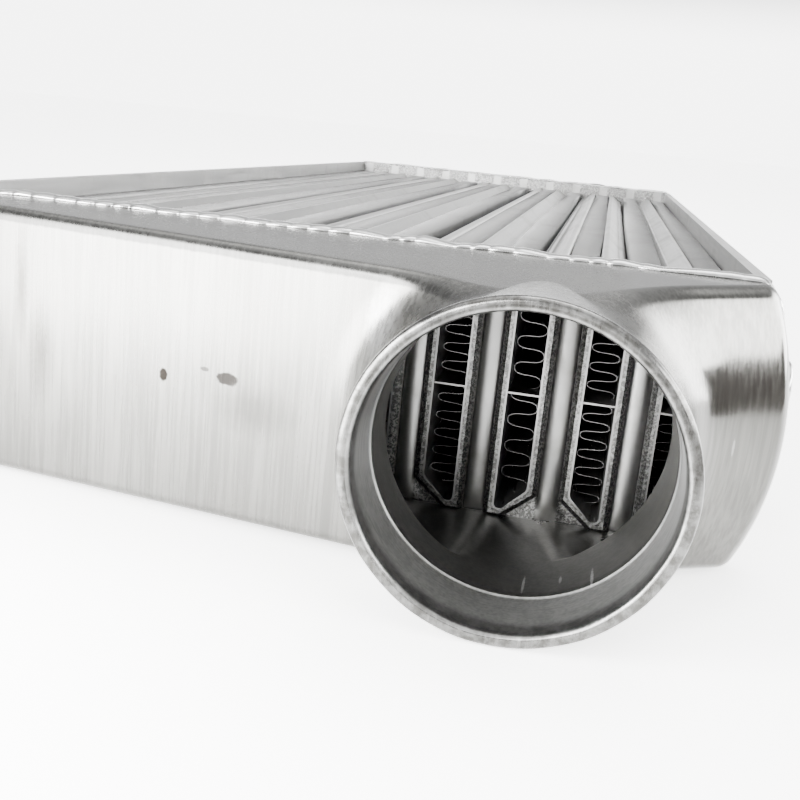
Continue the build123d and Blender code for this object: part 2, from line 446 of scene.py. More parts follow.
# marks of handling on the outlet tank: centre and size in metres, softness, tone, strength
handling = [
    ((-0.0305, -0.3115, 0.0382), (0.0011, 0.01, 0.0017), 0.25, (0.008, 0.007, 0.006), 1.0),
    ((-0.0120, -0.3146, 0.0403), (0.0030, 0.01, 0.0016), 0.25, (0.014, 0.013, 0.012), 1.0),
    ((-0.0185, -0.3136, 0.0418), (0.0012, 0.01, 0.0006), 0.4, (0.02, 0.019, 0.018), 0.8),
    ((-0.0040, -0.3158, 0.0335), (0.0085, 0.01, 0.0050), 1.2, (0.05, 0.049, 0.046), 0.6),
    ((-0.0755, -0.3037, 0.0560), (0.0016, 0.01, 0.0110), 1.4, (0.035, 0.033, 0.03), 0.7),
    ((-0.0690, -0.3050, 0.0380), (0.0028, 0.01, 0.0090), 1.6, (0.04, 0.038, 0.035), 0.6),
    ((0.0290, -0.3216, 0.0600), (0.0035, 0.01, 0.0070), 1.2, (0.32, 0.32, 0.315), 0.5),
    ((0.0690, -0.3279, 0.0043), (0.0003, 0.0045, 0.0010), 0.5, (0.45, 0.45, 0.445), 0.8),
    ((0.0844, -0.3310, 0.0102), (0.0003, 0.0050, 0.0012), 0.5, (0.45, 0.45, 0.445), 0.8),
    ((0.0774, -0.3263, 0.0064), (0.0003, 0.0020, 0.0010), 0.5, (0.40, 0.40, 0.395), 0.7),
    ((0.1145, -0.2998, 0.0375), (0.0003, 0.01, 0.0022), 0.5, (0.3, 0.3, 0.295), 0.35),
]

# lengths are in mm: radii from the neck's axis, and what starts "from" is so far from the
# middle of the core
castLook = {
    "across": (1, 1, 0.035), "fine": 1100.0, "coarse": 300.0, "grime": 0.38, "grain": 1400,
    "dark": (0.086, 0.085, 0.080), "pale": (0.128, 0.127, 0.120), "from": (286, 290),
    "stain": (0.12, 0.112, 0.103), "stainShare": 0.4, "specks": (0.12, 0.12, 0.11), "speckShare": 0.25,
    "streakSpan": (0.36, 0.64), "streakDepth": 0.28, "rough": 0.10, "roughLines": 0.26,
    "roughPatches": 0.08, "hollowRough": 0.36, "brushed": 0.35, "bump": 0.22, "bumpHeight": 0.1,
}
slantLook = {"from": (78, 90), "radius": (37, 43), "rough": 0.07, "roughLines": 0.14}
boreLook = {
    "radius": 35.7, "from": 334.6, "inside": 34.6, "lines": 1500, "share": 0.75,
    "dark": (0.36, 0.363, 0.36), "pale": (0.56, 0.56, 0.55),
}
lipLook = {
    "from": (347, 351), "radius": (33.5, 35), "wear": 260, "wearSpan": (0.38, 0.62), "share": 0.85,
    "dark": (0.05, 0.049, 0.046), "pale": (0.13, 0.13, 0.127),
}
# painted dark reflection on the rounded top rim: its height band in mm, raggedness, reach in x, tone
# and share
rimReflectionLook = {
    "low": (73.2, 73.9), "high": (76.2, 76.7), "ragged": 1.2, "until": (40, 58),
    "tone": (0.04, 0.04, 0.039), "share": 0.8,
}
hollowLook = {"behindFronts": 2.0, "halfHeight": 34.5}


def insideTank(tree, axes, away):
    # 1 in the hollow: behind both fronts, and between top and underside
    t = tankShape
    reach, lean, fall = frontSlopes()
    level = mathNode(tree, "SUBTRACT", axes["Z"], t["height"] / 2 * mm)
    depth = mathNode(tree, "SUBTRACT", away, t["headerFace"] * mm)
    start = (t["shallow"] + lean * reach) * mm
    longFront = mathNode(tree, "MULTIPLY_ADD", axes["X"], lean, start)
    start = (t["ridgeDepth"] + fall * t["ridgeX"]) * mm
    slantedFront = mathNode(tree, "MULTIPLY_ADD", axes["X"], -fall, start)
    bulge = np.hypot(1, fall) / (2 * t["slantRadius"] * mm)
    slantedFront = mathNode(tree, "SUBTRACT", slantedFront, product(tree, level, level, bulge))
    front = mathNode(tree, "MINIMUM", longFront, slantedFront)
    front = mathNode(tree, "SUBTRACT", front, hollowLook["behindFronts"] * mm)
    height = mathNode(tree, "ABSOLUTE", level)
    inHeight = mathNode(tree, "LESS_THAN", height, hollowLook["halfHeight"] * mm)
    return product(tree, mathNode(tree, "LESS_THAN", depth, front), inHeight)


def castMasks(tree, where):
    c = castLook
    axes = splitAxes(tree, where)
    radial, away = neckCoordinates(tree, axes)
    inBore = mathNode(tree, "LESS_THAN", radial, boreLook["radius"] * mm)
    machined = product(tree, inBore, mathNode(tree, "GREATER_THAN", away, boreLook["from"] * mm))
    inside = mathNode(tree, "LESS_THAN", radial, boreLook["inside"] * mm)
    hollow = mathNode(tree, "MAXIMUM", insideTank(tree, axes, away), inside)
    # turned lines in the machined bore: noise on the distance along the axis alone
    along = node(tree, "ShaderNodeCombineXYZ")
    tree.links.new(away, along.inputs["Y"])
    return {
        "axes": axes, "radial": radial, "away": away, "machined": machined, "inside": inside,
        "hollow": mathNode(tree, "MAXIMUM", hollow, machined),
        "turned": noiseOn(tree, along.outputs[0], boreLook["lines"], 2),
        "worn": noiseOn(tree, where, lipLook["wear"], 5, rough=0.7),
        "lines": useGroup(tree, brushed, where, Across=c["across"], Fine=c["fine"], Coarse=c["coarse"]),
        "dirt": useGroup(tree, grime, where, Amount=c["grime"]),
    }


def paintedRimReflection(tree, masks):
    # painted dark reflection: a band on the rounded rim of the top, left of the neck, with a ragged
    # lower edge
    r = rimReflectionLook
    depth = mathNode(tree, "SUBTRACT", masks["away"], tankShape["headerFace"] * mm)
    fallen = mathNode(tree, "MULTIPLY_ADD", depth, tankShape["draft"], masks["axes"]["Z"])
    ragged = mathNode(tree, "SUBTRACT", fallen, r["ragged"] / 2 * mm)
    ragged = mathNode(tree, "MULTIPLY_ADD", masks["worn"], r["ragged"] * mm, ragged)
    upper = between(tree, fallen, r["high"])
    band = mathNode(tree, "SUBTRACT", between(tree, ragged, r["low"]), upper)
    onFace = between(tree, masks["away"], castLook["from"])
    band = mathNode(tree, "MULTIPLY", band, onFace, clamp=True)
    return product(tree, band, opposite(tree, between(tree, masks["axes"]["X"], r["until"])))


def castColour(tree, where, masks):
    c = castLook
    base = mixColour(tree, masks["lines"]["Patches"], c["dark"], c["pale"])
    outside = opposite(tree, masks["machined"])
    stain = product(tree, masks["dirt"]["Mask"], outside, c["stainShare"])
    base = mixColour(tree, stain, base, c["stain"])
    base = mixColour(tree, product(tree, masks["dirt"]["Specks"], c["speckShare"]), base, c["specks"])
    boreTone = mixColour(tree, masks["turned"], boreLook["dark"], boreLook["pale"])
    base = mixColour(tree, product(tree, masks["machined"], boreLook["share"]), base, boreTone)
    wear = smoothMask(tree, masks["worn"], *lipLook["wearSpan"])
    lipTone = mixColour(tree, wear, lipLook["dark"], lipLook["pale"])
    ahead = between(tree, masks["away"], lipLook["from"])
    atLip = product(tree, ahead, between(tree, masks["radial"], lipLook["radius"]), lipLook["share"])
    base = mixColour(tree, atLip, base, lipTone)
    for mark in handling:
        base = markOn(tree, where, base, *mark)
    # the rounded top rim is darkened: a painted dark reflection
    base = mixColour(tree, product(tree, paintedRimReflection(tree, masks), rimReflectionLook["share"]), base, rimReflectionLook["tone"])
    streaks = smoothMask(tree, masks["lines"]["Lines"], *c["streakSpan"])
    streaks = mathNode(tree, "MULTIPLY_ADD", streaks, c["streakDepth"], 1 - c["streakDepth"] / 2)
    shade = vectorNode(tree, "SCALE", base)
    tree.links.new(streaks, shade.inputs["Scale"])
    return shade.outputs[0]


def castRoughness(tree, masks):
    c = castLook
    lines = masks["lines"]
    rough = mathNode(tree, "MULTIPLY_ADD", lines["Lines"], c["roughLines"], c["rough"])
    for patches in (lines["Patches"], masks["dirt"]["Mask"]):
        rough = mathNode(tree, "MULTIPLY_ADD", patches, c["roughPatches"], rough)
    rough = mathNode(tree, "MAXIMUM", rough, product(tree, masks["hollow"], c["hollowRough"]))
    # the slanted front is polished smoother than the long one
    s = slantLook
    aside = between(tree, masks["axes"]["X"], s["from"])
    polished = product(tree, aside, between(tree, masks["radial"], s["radius"]))
    polished = product(tree, polished, between(tree, masks["away"], c["from"]))
    smoother = mathNode(tree, "MULTIPLY_ADD", lines["Lines"], s["roughLines"], s["rough"])
    smoother = mathNode(tree, "SUBTRACT", smoother, rough)
    return mathNode(tree, "MULTIPLY_ADD", smoother, polished, rough)


def castHeight(tree, where, masks):
    # brushed strokes outside, turned lines in the bore, and grain, deeper within the neck
    strokes = product(tree, masks["lines"]["Lines"], opposite(tree, masks["machined"]))
    height = mathNode(tree, "MULTIPLY_ADD", masks["turned"], masks["machined"], strokes)
    grain = noiseOn(tree, where, castLook["grain"], 4)
    share = mathNode(tree, "MULTIPLY_ADD", masks["inside"], 0.25, 0.06)
    return mathNode(tree, "MULTIPLY_ADD", grain, share, height)


def makeCastMaterial():
    made, tree, shader, where = startMaterial("castAluminium", (0.72, 0.72, 0.71), 0.36)
    masks = castMasks(tree, where)
    tree.links.new(castColour(tree, where, masks), shader.inputs["Base Color"])
    tree.links.new(castRoughness(tree, masks), shader.inputs["Roughness"])
    shader.inputs["Anisotropic"].default_value = castLook["brushed"]
    height = castHeight(tree, where, masks)
    addBump(tree, shader, height, castLook["bump"], castLook["bumpHeight"] * mm)
    return made


castMetal = makeCastMaterial()
tankGrids = makeTank()
addPiece("outletTank", tankGrids, castMetal, ["outlet_tank"])
addPiece("inletTank", mirrored(tankGrids), castMetal, ["inlet_tank"])
print("tanks ready")


plainLook = {"patchTone": 0.86, "roughLines": 0.28, "roughDirt": 0.15, "bumpHeight": 0.1}


def plainMetal(name, colour, dark, roughness, across, fine, bump=0.3, grimy=0.5):
    made, tree, shader, where = startMaterial(name, colour, roughness)
    lines = useGroup(tree, brushed, where, Across=across, Fine=fine, Coarse=fine / 5)
    dirt = useGroup(tree, grime, where, Amount=grimy)
    p = plainLook
    patchTone = tuple(part * p["patchTone"] for part in colour)
    base = mixColour(tree, lines["Patches"], colour, patchTone)
    base = mixColour(tree, dirt["Mask"], base, dark)
    tree.links.new(base, shader.inputs["Base Color"])
    smoothest = roughness - p["roughLines"] / 2
    rough = mathNode(tree, "MULTIPLY_ADD", lines["Lines"], p["roughLines"], smoothest)
    rough = mathNode(tree, "MULTIPLY_ADD", dirt["Mask"], p["roughDirt"], rough, clamp=True)
    tree.links.new(rough, shader.inputs["Roughness"])
    addBump(tree, shader, lines["Lines"], bump, p["bumpHeight"] * mm)
    return made


# the side plates' sheet is darkened overall: painted shade standing in for the shade on their inner
# faces
sheetMetalWithPaintedShade = plainMetal(
    "rolledSheet", (0.24, 0.24, 0.236), (0.13, 0.125, 0.12), 0.34, (1, 0.04, 1), 800.0)
headerMetal = plainMetal(
    "pressedHeader", (0.27, 0.27, 0.265), (0.16, 0.155, 0.145), 0.36, (1, 1, 0.3), 900.0, grimy=0.7)
tubeMetal = plainMetal(
    "brazedTube", (0.31, 0.31, 0.305), (0.17, 0.163, 0.155), 0.38, (1, 0.05, 1), 700.0)
# the fins' colour is darker than the tubes': painted shade standing in for the shade in the recessed
# fin rows
finMetalWithPaintedShade = plainMetal(
    "finFoil", (0.17, 0.17, 0.168), (0.10, 0.10, 0.097), 0.42, (1, 1, 1), 500.0)
foilMetal = plainMetal(
    "turbulatorFoil", (0.22, 0.22, 0.217), (0.12, 0.12, 0.117), 0.3, (1, 0.05, 1), 700.0)
turnedMetal = plainMetal(
    "turnedRod", (0.42, 0.42, 0.415), (0.25, 0.25, 0.24), 0.22, (1, 0.02, 0.02), 2500.0, 0.4, 0.2)
weldMetal = plainMetal(
    "weldBead", (0.34, 0.34, 0.335), (0.15, 0.15, 0.145), 0.28, (1, 1, 1), 300.0, 0.25)
print("materials ready")

core = {
    "tubes": 11, "pitch": 20.3, "width": 9.6, "wall": 0.5, "low": 5.8, "high": 71.2,
    "standsOut": 2.7, "slant": 6.3, "nose": 2.1, "webZ": 39.2, "halfLength": 280.0,
    "lowRadius": 1.6, "tipRadius": 1.2, "sideRadius": 2.6,
}

# the drawn collars' speckle; it fades between two distances in mm from the tube's axis
collarLook = {
    "until": (6.8, 7.8), "speckle": 1500, "span": (0.44, 0.60), "share": 0.8,
    "dark": (0.05, 0.05, 0.048), "pale": (0.24, 0.24, 0.236), "bump": 0.5, "bumpHeight": 0.2,
}


def roughenCollars(metal):
    # the drawn collars round the tubes are dull and speckled; they repeat with the tubes' pitch
    c = collarLook
    tree = metal.node_tree
    shader = tree.nodes["Principled BSDF"]
    where = node(tree, "ShaderNodeTexCoord").outputs["Object"]
    aside = mathNode(tree, "PINGPONG", splitAxes(tree, where)["X"], core["pitch"] / 2 * mm)
    collar = opposite(tree, between(tree, aside, c["until"]))
    speckle = noiseOn(tree, where, c["speckle"], 2, rough=0.7)
    tone = mixColour(tree, smoothMask(tree, speckle, *c["span"]), c["dark"], c["pale"])
    before = shader.inputs["Base Color"].links[0].from_socket
    base = mixColour(tree, product(tree, collar, c["share"]), before, tone)
    tree.links.new(base, shader.inputs["Base Color"])
    addBump(tree, shader, product(tree, speckle, collar), c["bump"], c["bumpHeight"] * mm)


roughenCollars(headerMetal)
tubePlaces = (np.arange(core["tubes"]) - (core["tubes"] - 1) / 2) * core["pitch"]


def roundedLoop(corners, radii, arcSteps, sideSteps):
    # closed outline through the corners, each one an arc, with even steps on the straights
    points = []
    normals = []
    count = len(corners)
    arcs = []
    for k in range(count):
        here, before, after = corners[k], corners[k - 1], corners[(k + 1) % count]
        inward = (before - here) / np.linalg.norm(before - here)
        onward = (after - here) / np.linalg.norm(after - here)
        half = np.arccos(np.clip(inward @ onward, -1, 1)) / 2
        cut = radii[k] / np.tan(half)
        middle = here + (inward + onward) / np.linalg.norm(inward + onward) * radii[k] / np.sin(half)
        first = here + inward * cut - middle
        sweep = np.pi - 2 * half
        angle = np.arctan2(first[1], first[0]) + np.linspace(0, sweep, arcSteps)
        spoke = np.stack([np.cos(angle), np.sin(angle)], axis=-1)
        arcs.append((middle + radii[k] * spoke, spoke))
    for k in range(count):
        arc, spoke = arcs[k]
        start = arcs[(k + 1) % count][0][0]
        steps = sideSteps[k]
        share = (np.arange(1, steps) / steps)[:, None]
        points += [arc, arc[-1] + (start - arc[-1]) * share]
        normals += [spoke, np.repeat(spoke[-1:], steps - 1, axis=0)]
    return np.concatenate(points), np.concatenate(normals)


def tubeLoop(inset, flip, straightStep=4.0):
    # the tube's section, counter-clockwise in x and z: slanted nose below and above
    c = core
    half = c["width"] / 2 - inset
    low = c["low"] + inset
    high = c["high"] - inset
    corners = np.array([
        (-half, low), (-half + c["nose"], low), (half, low + c["slant"]),
        (half, high), (half - c["nose"], high), (-half, high - c["slant"]),
    ])
    long = int((c["high"] - c["low"] - c["slant"]) / straightStep)
    sides = [1, 2, long, 1, 2, long]
    radii = [c["lowRadius"], c["tipRadius"], c["sideRadius"]] * 2
    if flip:
        corners = corners[::-1] * (-1, 1)
        radii = radii[::-1]
        sides = [2, 1, long, 2, 1, long]
    return roundedLoop(corners, [max(r - inset * 0.6, 0.3) for r in radii], 5, sides)


def makeTube(place, flip):
    # wall: the section's outer loop, run along the tube, and its inner loop back; web: a flat bar
    c = core
    end = c["halfLength"] + c["standsOut"]
    outer, _ = tubeLoop(0.0, flip)
    inner, _ = tubeLoop(c["wall"], flip)
    rings = []
    for loop, y in ((outer, -end), (outer, end), (inner, end), (inner, -end)):
        rings.append(np.stack([loop[:, 0] + place, np.full(len(loop), y), loop[:, 1]], axis=-1))
    half = c["width"] / 2 - 0.2
    z = c["webZ"]
    t = c["wall"] / 2
    bar = np.array([(-half, z - t), (half, z - t), (half, z + t), (-half, z + t)])
    webs = []
    for y in (-end + 1.2, end - 1.2):
        webs.append(np.stack([bar[:, 0] + place, np.full(4, y), bar[:, 1]], axis=-1))
    first, last = [np.tile(web.mean(0), (4, 1)) for web in webs]
    return [(np.array(rings), True, True, True), (np.array([first, *webs, last]), False, True, True)]


for k, place in enumerate(tubePlaces):
    name = f"{k + 1:02d}"
    addPiece(f"flatTube{name}", makeTube(place, k % 2 == 1), tubeMetal, [f"tube_{name}"], 35)
print("tubes ready")

foil = {
    "sheet": 0.10, "length": 548.0, "halfWidth": 4.05, "folds": 5.6, "stepsPerFold": 26, "jitter": 0.12,
    "looseTube": 8, "looseFolds": 0.68, "looseJitter": 2.4, "fromNose": 3.2, "belowWeb": 37.9,
    "aboveWeb": 39.1,
}


def foilPath(low, high, loose, loop):
    # a wave with full round bends: x swings between the walls as z climbs, the swing flattened
    f = foil
    folds = f["folds"] * (f["looseFolds"] if loose else 1.0)
    s = np.linspace(0, 1, int(folds * f["stepsPerFold"]))
    sway = rng.uniform(-1, 1, 4) * f["jitter"] * (f["looseJitter"] if loose else 1.0)
    uneven = 0.03 * sway[0] * np.sin(5 * s + sway[1] * 9) + 0.02 * sway[2] * np.sin(11 * s)
    phase = 2 * np.pi * folds * (s + uneven)
    swing = np.sin(phase)
    x = f["halfWidth"] * (1.12 * swing - 0.12 * swing ** 3) * (0.96 + 0.05 * sway[3] * np.sin(7 * s))
    lean = 0.42 * np.sin(2 * phase) * (high - low) / (2 * np.pi * folds)
    z = low + (high - low) * s - lean
    if loop:
        # one fold pushed over on itself near the web
        near = np.exp(-((s - 0.9) / 0.05) ** 2)
        z = z - 2.4 * near * np.cos(phase)
        x = x * (1 - 0.25 * near)
    return x, z


def makeFoil(place, low, high, loose, loop):
    # the path given a thin wall along its own normal and run along the tube
    x, z = foilPath(low, high, loose, loop)
    tangent = np.stack([np.gradient(x), np.gradient(z)], axis=-1)
    tangent /= np.linalg.norm(tangent, axis=1)[:, None]
    aside = np.stack([-tangent[:, 1], tangent[:, 0]], axis=-1) * foil["sheet"] / 2
    line = np.stack([x + place, z], axis=-1)
    loopLine = np.concatenate([line + aside, (line - aside)[::-1]])
    half = foil["length"] / 2
    front = np.stack([loopLine[:, 0], np.full(len(loopLine), -half), loopLine[:, 1]], axis=-1)
    back = front * (1, -1, 1)
    mid = len(line)
    first, last = [np.stack([ring[:mid], ring[mid:][::-1]]) for ring in (front, back)]
    sheet = np.stack([front, back])
    return [(sheet, False, True, False), (first, False, False, True), (last, False, False, False)]


for k, place in enumerate(tubePlaces):
    name = f"{k + 1:02d}"
    loose = k == foil["looseTube"]
    lower = makeFoil(place, core["low"] + foil["fromNose"], foil["belowWeb"], loose, False)
    upper = makeFoil(place, foil["aboveWeb"], core["high"] - foil["fromNose"], loose, loose)
    addPiece(f"lowerFoil{name}", lower, foilMetal, [f"lower_turbulator_{name}"], 50)
    addPiece(f"upperFoil{name}", upper, foilMetal, [f"upper_turbulator_{name}"], 50)
print("turbulators ready")

fin = {
    "period": 3.6, "stepsPerFold": 8, "bend": 0.985, "sheet": 0.14, "gap": 0.1, "low": 6.6,
    "high": 70.4, "halfLength": 277.0, "sidePlate": 116.5,
}


def makeFin(left, right):
    # zigzag along y between two walls with rounded bends: a flattened sine, given a thin wall
    f = fin
    count = int(2 * f["halfLength"] / f["period"] * f["stepsPerFold"])
    y = np.linspace(-f["halfLength"], f["halfLength"], count)
    swing = np.sin(2 * np.pi * y / f["period"])
    middle = (left + right) / 2
    zigzag = np.arcsin(f["bend"] * swing) / np.arcsin(f["bend"])
    x = middle + (right - left - f["sheet"]) / 2 * zigzag
    tangent = np.stack([np.gradient(x), np.gradient(y)], axis=-1)
    tangent /= np.linalg.norm(tangent, axis=1)[:, None]
    aside = np.stack([-tangent[:, 1], tangent[:, 0]], axis=-1) * f["sheet"] / 2
    line = np.stack([np.clip(x, left + f["gap"], right - f["gap"]), y], axis=-1)
    walls = [line + aside, line - aside]
    rows = []
    for edge, z in ((0, f["low"]), (0, f["high"]), (1, f["high"]), (1, f["low"])):
        rows.append(np.column_stack([walls[edge], np.full(count, z)]))
    rows = np.array(rows)
    caps = [(rows[[0, 1, 3, 2], end].reshape(2, 2, 3), False, False, end == 0) for end in (0, -1)]
    return [(rows, True, False, True), *caps]


lefts = [-fin["sidePlate"], *(tubePlaces + core["width"] / 2)]
rights = [*(tubePlaces - core["width"] / 2), fin["sidePlate"]]
for k, (left, right) in enumerate(zip(lefts, rights)):
    name = f"{k + 1:02d}"
    addPiece(f"finRow{name}", makeFin(left, right), finMetalWithPaintedShade, [f"air_fin_{name}"], 50)
print("fins ready")

header = {
    "collar": 2.3, "rise": 2.0, "ridge": 1.7, "ridgeLift": 0.12, "ridgeEnds": (4, 73), "fade": 9,
    "low": 0.6, "high": 76.4, "flatSteps": 10,
    "collarSteps": (0, 0.15, 0.4, 0.8, 1.2, 1.6, 1.9, 2.1, 2.3, 2.42, 2.5, 2.56),
}


def collarHeight(away):
    # height over the plate at a distance from the tube: a rolled edge, then a steep fall
    h = header
    u = np.clip(away / h["collar"], 0, 1)
    return h["rise"] * np.sqrt(np.clip(1 - u ** 3.2, 0, 1))


def makeHeaderCell(place, flip):
    # from the tube's section out over the collar to the cell's edge, halfway to the next tube
    h = header
    halfPitch = core["pitch"] / 2
    loop, normal = tubeLoop(-0.05, flip, 2.0)
    half = np.where(normal[:, 0] > 0, halfPitch - loop[:, 0], halfPitch + loop[:, 0])
    sideways = half / np.maximum(np.abs(normal[:, 0]), 1e-3)
    upright = np.where(normal[:, 1] > 0, h["high"] - loop[:, 1], loop[:, 1] - h["low"])
    upright = upright / np.maximum(np.abs(normal[:, 1]), 1e-3)
    reach = np.minimum(sideways, upright)
    last = h["collarSteps"][-1]
    flat = np.linspace(0, 1, h["flatSteps"] + 1)[1:]
    rows = [np.minimum(a, reach - 0.1) for a in h["collarSteps"]]
    away = np.array(rows + [last + (reach - last) * r for r in flat])
    points = loop + normal * away[..., None]
    x = points[..., 0]
    z = points[..., 1]
    # between two tubes the plate swells into a ridge that ends near top and underside
    inGap = (halfPitch - np.abs(x)) / (halfPitch - core["width"] / 2 - h["collar"])
    swell = np.sqrt(np.clip(1 - np.clip(inGap, 0, 1) ** 2, 0, 1))
    foot, head = h["ridgeEnds"]
    fade = np.clip((z - foot) / h["fade"], 0, 1) * np.clip((head - z) / h["fade"], 0, 1)
    ridge = h["ridge"] * swell * np.sin(np.pi / 2 * fade) ** 0.7 + h["ridgeLift"]
    depth = np.maximum(collarHeight(away), np.where(away > h["collar"], ridge, 0))
    y = -core["halfLength"] - depth
    return [(np.stack([x + place, y, z], axis=-1), False, True, True)]


headerGrids = []
for k, place in enumerate(tubePlaces):
    headerGrids += makeHeaderCell(place, k % 2 == 1)
addPiece("outletHeaderPress", headerGrids, headerMetal, solid=False)
addPiece("inletHeaderPress", mirrored(headerGrids), headerMetal, solid=False)
print("headers ready")

bead = {
    "width": 3.4, "rise": 1.8, "step": 0.42, "ripple": 6.3, "taper": 4.0, "sunk": 0.25, "push": 1.3,
    "driftEvery": 9, "slowEvery": 23, "columns": 13, "cornerX": 116, "cornerZ": 73, "cornerRadius": 4,
}


def mouthPath(step):
    # up the left bowed end, over the top and down the right end, in x and z
    t = tankShape
    mid = t["height"] / 2
    radius = bowRadius()
    swing = np.arcsin(mid / radius)
    up = np.linspace(-swing + 0.012, swing - 0.05, int(80 / step))
    middle = radius - t["halfWidth"] - t["bow"]
    left = np.stack([middle - radius * np.cos(up), mid + radius * np.sin(up)], axis=-1)
    corner = np.linspace(np.pi - 0.2, np.pi / 2, int(6 / step))
    spoke = bead["cornerRadius"] * np.stack([np.cos(corner), np.sin(corner)], axis=-1)
    arc = spoke + (-bead["cornerX"], bead["cornerZ"])
    end = bead["cornerX"] - 0.4
    across = np.linspace(-end, end, int(2 * end / step))
    top = np.stack([across, np.full(len(across), t["height"])], axis=-1)
    half = np.concatenate([left, arc])
    return np.concatenate([half, top, half[::-1] * (-1, 1)])


def drawnAlong(run, spacing):
    # a random value from -1 to 1 every so many mm, with straight lines between
    places = np.arange(0, run[-1] + spacing, spacing)
    return np.interp(run, places, rng.uniform(-1, 1, int(run[-1] // spacing) + 2))


def makeBead():
    # a low dome carried along the joint; its height and reach pulse as overlapping drops do
    b = bead
    path = mouthPath(b["step"])
    tangent = np.gradient(path, axis=0)
    tangent /= np.linalg.norm(tangent, axis=1)[:, None]
    outward = np.stack([-tangent[:, 1], tangent[:, 0]], axis=-1)
    run = np.concatenate([[0], np.cumsum(np.linalg.norm(np.diff(path, axis=0), axis=1))])
    drift = drawnAlong(run, b["driftEvery"])
    slow = drawnAlong(run, b["slowEvery"])
    phase = (run + 2.6 * drift + 2.0 * slow) / b["ripple"] % 1
    fresh = np.clip(0.45 + 0.55 * slow + 0.3 * drift, 0.08, 1)
    drop = 1 - fresh * (1 - np.sin(np.pi * phase ** 0.6) ** 0.8)
    taper = np.clip(np.minimum(run, run[-1] - run) / b["taper"], 0, 1) ** 0.5
    reach = b["width"] * (0.74 + 0.22 * drop + 0.10 * slow) * taper
    rise = b["rise"] * (0.50 + 0.24 * drop + 0.26 * drift)
    across = np.linspace(-1, 1, b["columns"])
    dome = np.sqrt(np.clip(1 - np.abs(across) ** 2.4, 0, 1))
    # each drop is pushed along its middle, so its edge shows as a crescent
    along = np.clip(run + b["push"] * (1 - across[:, None] ** 2) * drop, 0, run[-1])
    x = np.interp(along, run, path[:, 0])
    z = np.interp(along, run, path[:, 1])
    y = -core["halfLength"] + across[:, None] * reach + (0.6 * drift + 0.5 * slow) * taper
    # thin down the ends, full on the top
    upper = 0.3 + 0.7 * np.clip((path[:, 1] - 66) / 8, 0, 1)
    height = (dome[:, None] * rise * upper - b["sunk"]) * taper
    x = x + outward[:, 0] * height
    z = np.maximum(z + outward[:, 1] * height, 0.02)
    return [(np.stack([x, y, z], axis=-1), True, False, False)]


beadGrids = makeBead()
addPiece("outletBead", beadGrids, weldMetal, ["outlet_weld"])
addPiece("inletBead", mirrored(beadGrids), weldMetal, ["inlet_weld"])
print("welds ready")

boss = {
    "radius": 8.5, "length": 19.0, "plate": 120.0, "y": 219.0, "z": 38.5, "chamfer": 0.8,
    "hole": 3.4, "depth": 14.0, "pitch": 1.25, "thread": 0.32, "cone": 1.6,
}


def makeBoss(side, end):
    # turned profile swept round its axis: chamfered barrel, faced end, and a threaded hole
    # with a cone at its foot; each point is a radius and a distance from the plate
    b = boss
    r = b["radius"]
    face = b["length"]
    foot = face - b["depth"]
    run = np.arange(0, b["depth"] - 1.0, b["pitch"] / 4)
    bore = b["hole"] + b["thread"] * np.abs((run / b["pitch"]) % 1 * 2 - 1)
    profile = [(0, -0.4), (r, -0.4), (r, 0), (r, 9), (r, face - 0.9), (r - 0.25, face - 0.4)]
    profile += [(r - b["chamfer"], face), (6.0, face), (b["hole"] + 0.9, face)]
    profile += list(zip(bore, face - 0.6 - run))
    profile += [(b["hole"], foot), (0.0, foot - b["cone"])]
    profile = np.array(profile, float)
    around = np.linspace(0, 2 * np.pi, 64, endpoint=False)
    y = end * b["y"] + profile[:, :1] * np.cos(around)
    z = b["z"] + profile[:, :1] * np.sin(around)
    x = side * (b["plate"] + profile[:, 1:]) + 0 * around
    return [(np.stack([x, y, z], axis=-1), False, True, side < 0)]


for side, sideName in ((1, "right"), (-1, "left")):
    for end, endName in ((-1, "outlet"), (1, "inlet")):
        name = f"{sideName}{endName.title()}Boss"
        stands = [f"{sideName}_{endName}_boss"]
        addPiece(name, makeBoss(side, end), turnedMetal, stands, 40)
print("bosses ready")

for name in ("outlet_header", "inlet_header", "left_side_plate", "right_side_plate"):
    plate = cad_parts[name]
    plate.data.materials.clear()
    plate.data.materials.append(headerMetal if "header" in name else sheetMetalWithPaintedShade)


def makePlane(name, corners, colour, roughness, glow):
    mesh = bpy.data.meshes.new(name)
    mesh.from_pydata(corners, [], [(0, 1, 2, 3)])
    made, tree, shader, where = startMaterial(name, colour, roughness, 0.0)
    tone = noiseOn(tree, where, 2.0, 2)
    darker = tuple(part * 0.97 for part in colour)
    tree.links.new(mixColour(tree, tone, darker, colour), shader.inputs["Base Color"])
    shader.inputs["Emission Color"].default_value = (1, 1, 0.99, 1)
    shader.inputs["Emission Strength"].default_value = glow
    mesh.materials.append(made)
    plane = bpy.data.objects.new(name, mesh)
    bpy.context.scene.collection.objects.link(plane)
    return plane


# the dark sheet's tone and place: a painted shadow lying on the floor before the outlet
stage = {
    "reach": 60.0, "floor": (0.86, 0.86, 0.855), "floorGlow": 2.0,
    "card": (0.06, 0.052, 0.045), "cardX": 0.58, "cardY": (-1.5, -0.1), "cardZ": (-0.002, 0.145),
    "shadowSheetTone": (0.26, 0.255, 0.25), "shadowSheetX": (-0.02, 0.34), "shadowSheetY": (-1.1, -0.475), "shadowSheetZ": 0.002,
}


